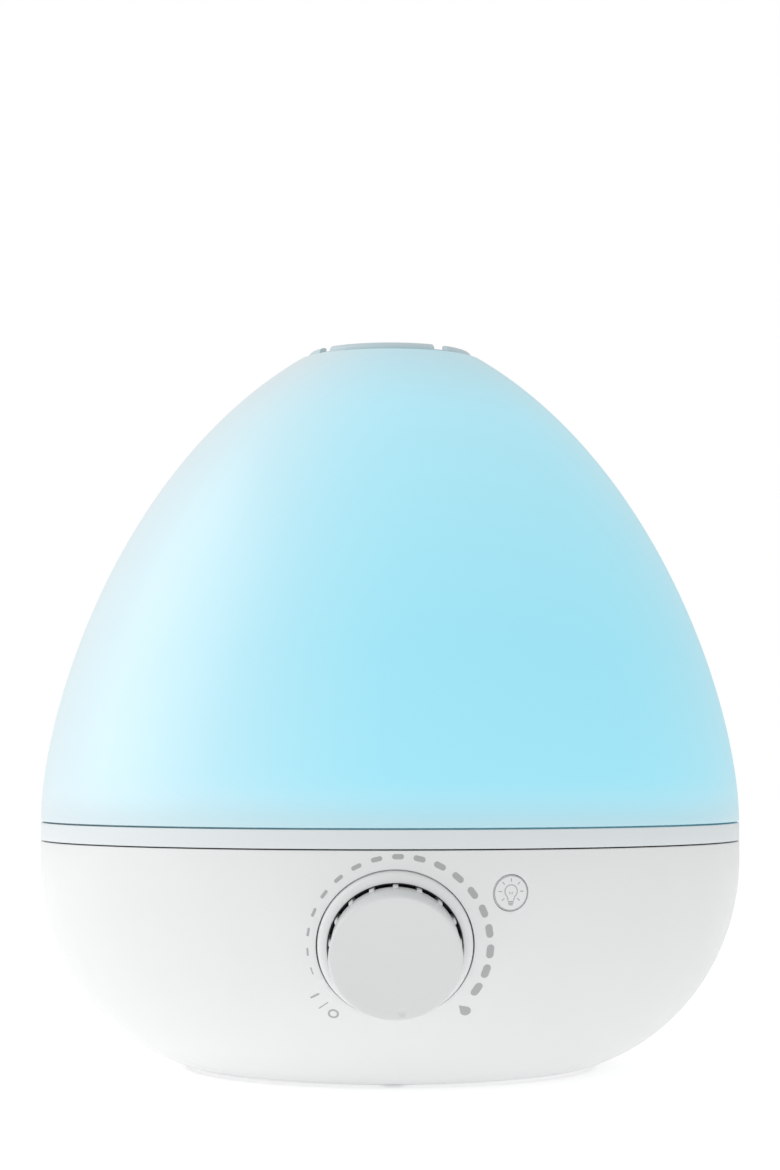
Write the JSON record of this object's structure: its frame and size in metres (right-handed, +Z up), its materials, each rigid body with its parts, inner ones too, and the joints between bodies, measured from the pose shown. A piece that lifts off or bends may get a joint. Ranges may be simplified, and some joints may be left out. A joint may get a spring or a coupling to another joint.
{
  "type": "cool mist humidifier",
  "caption": "Egg-shaped ultrasonic cool mist humidifier: lit frosted tank that lifts off a white bowl base, with a dial, a lamp button, a filler valve, a float, a fan and an aroma drawer.",
  "frame": {"origin": "where the vessel's axis meets the table, 1 mm below the underside of the bottom plate", "axes": "+Z up along the vessel's axis, -Y out of the front, where the dial is, +X to the right seen from the front"},
  "size_m": [0.23, 0.2391, 0.236],
  "materials": {
    "white_plastic": "satin moulded white",
    "dial_plastic": "satin moulded white, a shade greyer",
    "frosted_tank": "frosted translucent, lit from inside",
    "cap_plastic": "satin, tinted by the lit tank",
    "floor_plastic": "pale translucent",
    "lens_plastic": "clear",
    "grey_plastic": "matte",
    "black_plastic": "matte",
    "seal_rubber": "soft",
    "dark_rubber": "soft",
    "steel": "bright",
    "aluminium": "satin",
    "brass": "plain",
    "ceramic": "fired ceramic",
    "circuit_board": "solder mask",
    "felt": "pressed felt"
  },
  "bodies": {
    "base": {"base_shell": "white_plastic", "base_plate": "white_plastic", "foot_ring": "dark_rubber", "plate_screw_1": "steel", "plate_screw_2": "steel", "plate_screw_3": "steel", "plate_screw_4": "steel", "reservoir_deck": "white_plastic", "deck_screw_1": "steel", "deck_screw_2": "steel", "deck_screw_3": "steel", "float_clip": "white_plastic", "piezo_disc": "ceramic", "transducer_seal": "seal_rubber", "transducer_clamp": "aluminium", "fan_housing": "black_plastic", "fan_motor": "steel", "air_duct": "white_plastic", "driver_board": "circuit_board", "heatsink": "aluminium", "inductor": "brass", "capacitor": "black_plastic", "led_board": "circuit_board", "led_lens": "lens_plastic", "dc_jack": "black_plastic", "dial_bezel": "white_plastic", "potentiometer": "steel", "pot_nut": "brass", "control_board": "circuit_board", "tact_switch": "black_plastic", "button_board": "circuit_board", "drawer_guide": "white_plastic", "piezo_lead": "dark_rubber", "fan_lead": "dark_rubber", "led_lead": "dark_rubber", "dc_lead": "dark_rubber", "control_lead": "dark_rubber"},
    "tank": {"tank_shell": "frosted_tank", "tank_floor": "floor_plastic", "mist_tube": "floor_plastic", "tube_seal": "seal_rubber", "tank_gasket": "seal_rubber"},
    "mist_collar": {"mist_collar": "white_plastic", "drip_baffle": "white_plastic"},
    "mist_cap": {"mist_cap": "cap_plastic"},
    "filler_cap": {"filler_cap": "grey_plastic", "cap_gasket": "seal_rubber"},
    "valve": {"valve_plunger": "white_plastic", "valve_seal": "seal_rubber", "valve_spring": "steel"},
    "float": {"float": "white_plastic", "float_magnet": "steel"},
    "fan": {"fan_impeller": "grey_plastic"},
    "dial": {"dial_knob": "dial_plastic", "pot_shaft": "aluminium"},
    "light_button": {"light_button": "white_plastic", "switch_plunger": "black_plastic"},
    "aroma_drawer": {"aroma_drawer": "white_plastic", "aroma_pad": "felt"}
  },
  "joints": [
    {"name": "tank_lift", "type": "slide", "parent": "base", "child": "tank", "axis": [0, 0, 1], "range_m": [0, 0.06]},
    {"name": "collar_lift", "type": "slide", "parent": "tank", "child": "mist_collar", "axis": [0, 0, 1], "range_m": [0, 0.02]},
    {"name": "cap_turn", "type": "hinge", "parent": "mist_collar", "child": "mist_cap", "pos_m": [0, 0, 0.2337], "axis": [0, 0, 1], "continuous": true},
    {"name": "filler_cap_turn", "type": "hinge", "parent": "tank", "child": "filler_cap", "pos_m": [0.058, 0, 0.066], "axis": [0, 0, 1], "range_deg": [0, 60]},
    {"name": "valve_slide", "type": "slide", "parent": "filler_cap", "child": "valve", "axis": [0, 0, 1], "range_m": [-0.003, 0], "deforming": ["valve_spring"]},
    {"name": "float_rise", "type": "slide", "parent": "base", "child": "float", "axis": [0, 0, 1], "range_m": [0, 0.006]},
    {"name": "fan_spin", "type": "hinge", "parent": "base", "child": "fan", "pos_m": [-0.047, 0.0404, 0.028], "axis": [0, 0, 1], "continuous": true},
    {"name": "dial_turn", "type": "hinge", "parent": "base", "child": "dial", "pos_m": [0, -0.11114, 0.0451], "axis": [0, 0.9485, 0.3169], "range_deg": [0, 305]},
    {"name": "button_press", "type": "slide", "parent": "base", "child": "light_button", "axis": [-0.2934, 0.9506, 0.1009], "range_m": [0, 0.0008], "stiffness_N_per_m": 600, "springref_m": -0.0015},
    {"name": "drawer_slide", "type": "slide", "parent": "base", "child": "aroma_drawer", "axis": [0, 1, 0], "range_m": [0, 0.028]}
  ],
  "couplings": [
    {"joint": "valve_slide", "follows": "tank_lift", "ratio": -0.05}
  ]
}
